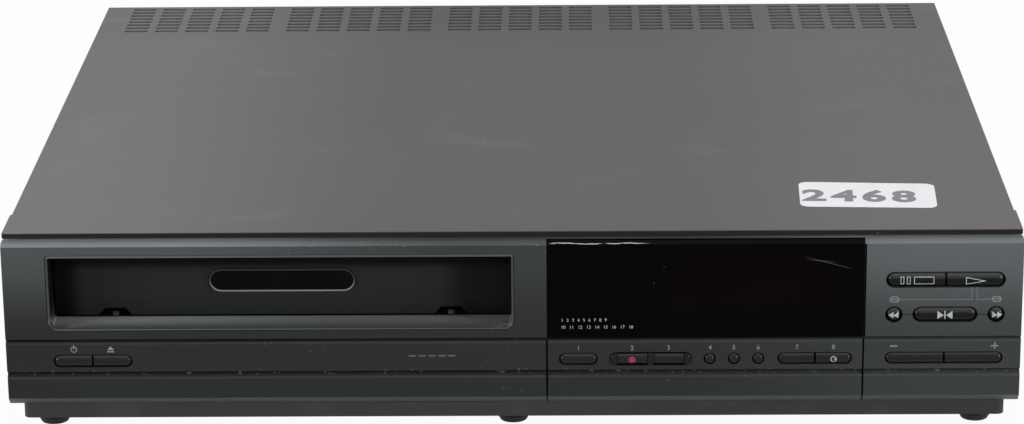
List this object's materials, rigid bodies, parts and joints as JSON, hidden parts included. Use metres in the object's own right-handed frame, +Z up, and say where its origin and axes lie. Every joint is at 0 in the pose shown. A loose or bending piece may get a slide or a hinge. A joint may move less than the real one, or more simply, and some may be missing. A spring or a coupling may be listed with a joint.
{
  "type": "video cassette recorder",
  "caption": "Low wide box with a front cassette slot behind a sprung door, a dark display window, rows of push buttons and a tape deck with drum, reels and lift inside.",
  "frame": {"origin": "centre of the box's footprint, on the surface that the feet stand on", "axes": "+X to the right seen from the front, -Y out of the front, +Z up"},
  "size_m": [0.421, 0.36, 0.0893],
  "materials": {
    "cover_paint": "satin, fine texture",
    "panel_plastic": "fine satin",
    "frame_plastic": "satin",
    "door_plastic": "matt",
    "badge_gloss": "gloss",
    "window_gloss": "gloss, smoked",
    "button_gloss": "gloss",
    "base_plastic": "matt",
    "foot_rubber": "matt",
    "screw_black": "blackened",
    "rear_paint": "satin",
    "socket_plastic": "matt",
    "screen_tin": "tinned",
    "board_laminate": "laminate",
    "tube_glass": "clear",
    "deck_steel": "zinc plated",
    "reel_plastic": "satin",
    "drum_alloy": "polished",
    "shaft_steel": "ground",
    "bearing_brass": "sintered",
    "roller_rubber": "matt",
    "guide_plastic": "satin",
    "head_alloy": "ground",
    "core_iron": "laminated",
    "sink_alloy": "plain"
  },
  "bodies": {
    "chassis": {"aerial_unit": "screen_tin", "av_socket": "socket_plastic", "base_tray": "base_plastic", "capstan_bearing": "bearing_brass", "cover_screws": "screw_black", "deck_chassis": "deck_steel", "display_tube": "tube_glass", "display_window": "window_gloss", "drive_belt": "roller_rubber", "drum_base": "drum_alloy", "feet": "foot_rubber", "front_board": "board_laminate", "front_panel": "panel_plastic", "heat_sink": "sink_alloy", "lift_frames": "deck_steel", "loading_motor": "shaft_steel", "lower_drum": "drum_alloy", "main_board": "board_laminate", "mains_inlet": "socket_plastic", "rear_panel": "rear_paint", "slot_frame": "frame_plastic", "tape_heads": "head_alloy", "top_cover": "cover_paint", "transformer": "core_iron"},
    "door": {"cassette_door": "door_plastic", "door_badge": "badge_gloss"},
    "carriage": {"carriage": "deck_steel"},
    "cassette_holder": {"cassette_holder": "deck_steel"},
    "supply_reel": {"supply_reel": "reel_plastic"},
    "takeup_reel": {"takeup_reel": "reel_plastic"},
    "idler_arm": {"idler_arm": "deck_steel"},
    "idler_wheel": {"idler_wheel": "roller_rubber"},
    "clutch_pulley": {"clutch_pulley": "reel_plastic"},
    "drum": {"upper_drum": "drum_alloy", "drum_rotor": "shaft_steel"},
    "capstan": {"capstan": "shaft_steel"},
    "pinch_arm": {"pinch_arm": "deck_steel"},
    "pinch_roller": {"pinch_roller": "roller_rubber"},
    "tension_arm": {"tension_arm": "deck_steel"},
    "left_guide": {"left_guide": "guide_plastic"},
    "right_guide": {"right_guide": "guide_plastic"},
    "cam_gear": {"cam_gear": "reel_plastic"},
    "motor_pinion": {"motor_pinion": "reel_plastic"},
    "channel_down_button": {"channel_down_button": "button_gloss"},
    "channel_up_button": {"channel_up_button": "button_gloss"},
    "eject_button": {"eject_button": "button_gloss"},
    "forward_button": {"forward_button": "button_gloss"},
    "install_button": {"install_button": "button_gloss"},
    "memory_button": {"memory_button": "button_gloss"},
    "pause_stop_button": {"pause_stop_button": "button_gloss"},
    "play_button": {"play_button": "button_gloss"},
    "record_button": {"record_button": "button_gloss"},
    "rewind_button": {"rewind_button": "button_gloss"},
    "search_button": {"search_button": "button_gloss"},
    "select_button": {"select_button": "button_gloss"},
    "standby_button": {"standby_button": "button_gloss"},
    "still_button": {"still_button": "button_gloss"},
    "store_button": {"store_button": "button_gloss"},
    "timer_button": {"timer_button": "button_gloss"},
    "tuner_button": {"tuner_button": "button_gloss"}
  },
  "joints": [
    {"name": "door_hinge", "type": "hinge", "parent": "chassis", "child": "door", "pos_m": [-0.0958, -0.1639, 0.0815], "axis": [1, 0, 0], "range_deg": [0, 84], "stiffness_Nm_per_rad": 0.02, "springref_deg": -34.38},
    {"name": "carriage_slide", "type": "slide", "parent": "chassis", "child": "carriage", "axis": [0, 1, 0], "range_m": [0, 0.048]},
    {"name": "holder_lift", "type": "slide", "parent": "carriage", "child": "cassette_holder", "axis": [0, 0, -1], "range_m": [0, 0.0183]},
    {"name": "supply_reel_spin", "type": "hinge", "parent": "chassis", "child": "supply_reel", "pos_m": [-0.1418, -0.0451, 0.03], "axis": [0, 0, 1], "continuous": true},
    {"name": "takeup_reel_spin", "type": "hinge", "parent": "chassis", "child": "takeup_reel", "pos_m": [-0.0498, -0.0451, 0.03], "axis": [0, 0, 1], "continuous": true},
    {"name": "idler_swing", "type": "hinge", "parent": "chassis", "child": "idler_arm", "pos_m": [-0.0958, -0.0655, 0.027], "axis": [0, 0, 1], "range_deg": [-28, 28]},
    {"name": "idler_spin", "type": "hinge", "parent": "idler_arm", "child": "idler_wheel", "pos_m": [-0.0958, -0.0451, 0.028], "axis": [0, 0, 1], "continuous": true},
    {"name": "capstan_spin", "type": "hinge", "parent": "chassis", "child": "capstan", "pos_m": [-0.0278, 0.0249, 0.02], "axis": [0, 0, 1], "continuous": true},
    {"name": "clutch_spin", "type": "hinge", "parent": "chassis", "child": "clutch_pulley", "pos_m": [-0.0958, -0.0655, 0.02], "axis": [0, 0, 1], "continuous": true},
    {"name": "drum_spin", "type": "hinge", "parent": "chassis", "child": "drum", "pos_m": [-0.0958, 0.0519, 0.033], "axis": [0.1028, 0, 0.9947], "continuous": true},
    {"name": "cam_turn", "type": "hinge", "parent": "chassis", "child": "cam_gear", "pos_m": [-0.1698, 0.0559, 0.02], "axis": [0, 0, 1], "range_deg": [0, 107]},
    {"name": "pinion_turn", "type": "hinge", "parent": "chassis", "child": "motor_pinion", "pos_m": [-0.1698, 0.0849, 0.02], "axis": [0, 0, 1], "range_deg": [-535, 0]},
    {"name": "left_guide_travel", "type": "hinge", "parent": "chassis", "child": "left_guide", "pos_m": [-0.0958, 0.0519, 0.026], "axis": [0, 0, 1], "range_deg": [-107, 0]},
    {"name": "right_guide_travel", "type": "hinge", "parent": "chassis", "child": "right_guide", "pos_m": [-0.0958, 0.0519, 0.026], "axis": [0, 0, 1], "range_deg": [0, 107]},
    {"name": "pinch_swing", "type": "hinge", "parent": "chassis", "child": "pinch_arm", "pos_m": [-0.0198, 0.0429, 0.027], "axis": [0, 0, 1], "range_deg": [-35, 0]},
    {"name": "roller_spin", "type": "hinge", "parent": "pinch_arm", "child": "pinch_roller", "pos_m": [-0.0068, 0.02273, 0.042], "axis": [0, 0, 1], "continuous": true},
    {"name": "tension_swing", "type": "hinge", "parent": "chassis", "child": "tension_arm", "pos_m": [-0.1738, 0.0409, 0.027], "axis": [0, 0, 1], "range_deg": [-25, 0]},
    {"name": "channel_down_press", "type": "slide", "parent": "chassis", "child": "channel_down_button", "axis": [0, 1, 0], "range_m": [0, 0.001], "stiffness_N_per_m": 900, "springref_m": -0.0006},
    {"name": "channel_up_press", "type": "slide", "parent": "chassis", "child": "channel_up_button", "axis": [0, 1, 0], "range_m": [0, 0.001], "stiffness_N_per_m": 900, "springref_m": -0.0006},
    {"name": "eject_press", "type": "slide", "parent": "chassis", "child": "eject_button", "axis": [0, 1, 0], "range_m": [0, 0.001], "stiffness_N_per_m": 900, "springref_m": -0.0006},
    {"name": "forward_press", "type": "slide", "parent": "chassis", "child": "forward_button", "axis": [0, 1, 0], "range_m": [0, 0.001], "stiffness_N_per_m": 900, "springref_m": -0.0006},
    {"name": "install_press", "type": "slide", "parent": "chassis", "child": "install_button", "axis": [0, 1, 0], "range_m": [0, 0.001], "stiffness_N_per_m": 900, "springref_m": -0.0006},
    {"name": "memory_press", "type": "slide", "parent": "chassis", "child": "memory_button", "axis": [0, 1, 0], "range_m": [0, 0.001], "stiffness_N_per_m": 900, "springref_m": -0.0006},
    {"name": "pause_stop_press", "type": "slide", "parent": "chassis", "child": "pause_stop_button", "axis": [0, 1, 0], "range_m": [0, 0.001], "stiffness_N_per_m": 900, "springref_m": -0.0006},
    {"name": "play_press", "type": "slide", "parent": "chassis", "child": "play_button", "axis": [0, 1, 0], "range_m": [0, 0.001], "stiffness_N_per_m": 900, "springref_m": -0.0006},
    {"name": "record_press", "type": "slide", "parent": "chassis", "child": "record_button", "axis": [0, 1, 0], "range_m": [0, 0.001], "stiffness_N_per_m": 900, "springref_m": -0.0006},
    {"name": "rewind_press", "type": "slide", "parent": "chassis", "child": "rewind_button", "axis": [0, 1, 0], "range_m": [0, 0.001], "stiffness_N_per_m": 900, "springref_m": -0.0006},
    {"name": "search_press", "type": "slide", "parent": "chassis", "child": "search_button", "axis": [0, 1, 0], "range_m": [0, 0.001], "stiffness_N_per_m": 900, "springref_m": -0.0006},
    {"name": "select_press", "type": "slide", "parent": "chassis", "child": "select_button", "axis": [0, 1, 0], "range_m": [0, 0.001], "stiffness_N_per_m": 900, "springref_m": -0.0006},
    {"name": "standby_press", "type": "slide", "parent": "chassis", "child": "standby_button", "axis": [0, 1, 0], "range_m": [0, 0.001], "stiffness_N_per_m": 900, "springref_m": -0.0006},
    {"name": "still_press", "type": "slide", "parent": "chassis", "child": "still_button", "axis": [0, 1, 0], "range_m": [0, 0.001], "stiffness_N_per_m": 900, "springref_m": -0.0006},
    {"name": "store_press", "type": "slide", "parent": "chassis", "child": "store_button", "axis": [0, 1, 0], "range_m": [0, 0.001], "stiffness_N_per_m": 900, "springref_m": -0.0006},
    {"name": "timer_press", "type": "slide", "parent": "chassis", "child": "timer_button", "axis": [0, 1, 0], "range_m": [0, 0.001], "stiffness_N_per_m": 900, "springref_m": -0.0006},
    {"name": "tuner_press", "type": "slide", "parent": "chassis", "child": "tuner_button", "axis": [0, 1, 0], "range_m": [0, 0.001], "stiffness_N_per_m": 900, "springref_m": -0.0006}
  ],
  "couplings": [
    {"joint": "clutch_spin", "follows": "capstan_spin", "ratio": 0.66667},
    {"joint": "idler_spin", "follows": "capstan_spin", "ratio": -0.35897},
    {"joint": "pinion_turn", "follows": "cam_turn", "ratio": -5},
    {"joint": "left_guide_travel", "follows": "cam_turn", "ratio": -1},
    {"joint": "right_guide_travel", "follows": "cam_turn", "ratio": 1},
    {"joint": "pinch_swing", "follows": "cam_turn", "ratio": -0.3271},
    {"joint": "tension_swing", "follows": "cam_turn", "ratio": -0.23364}
  ]
}
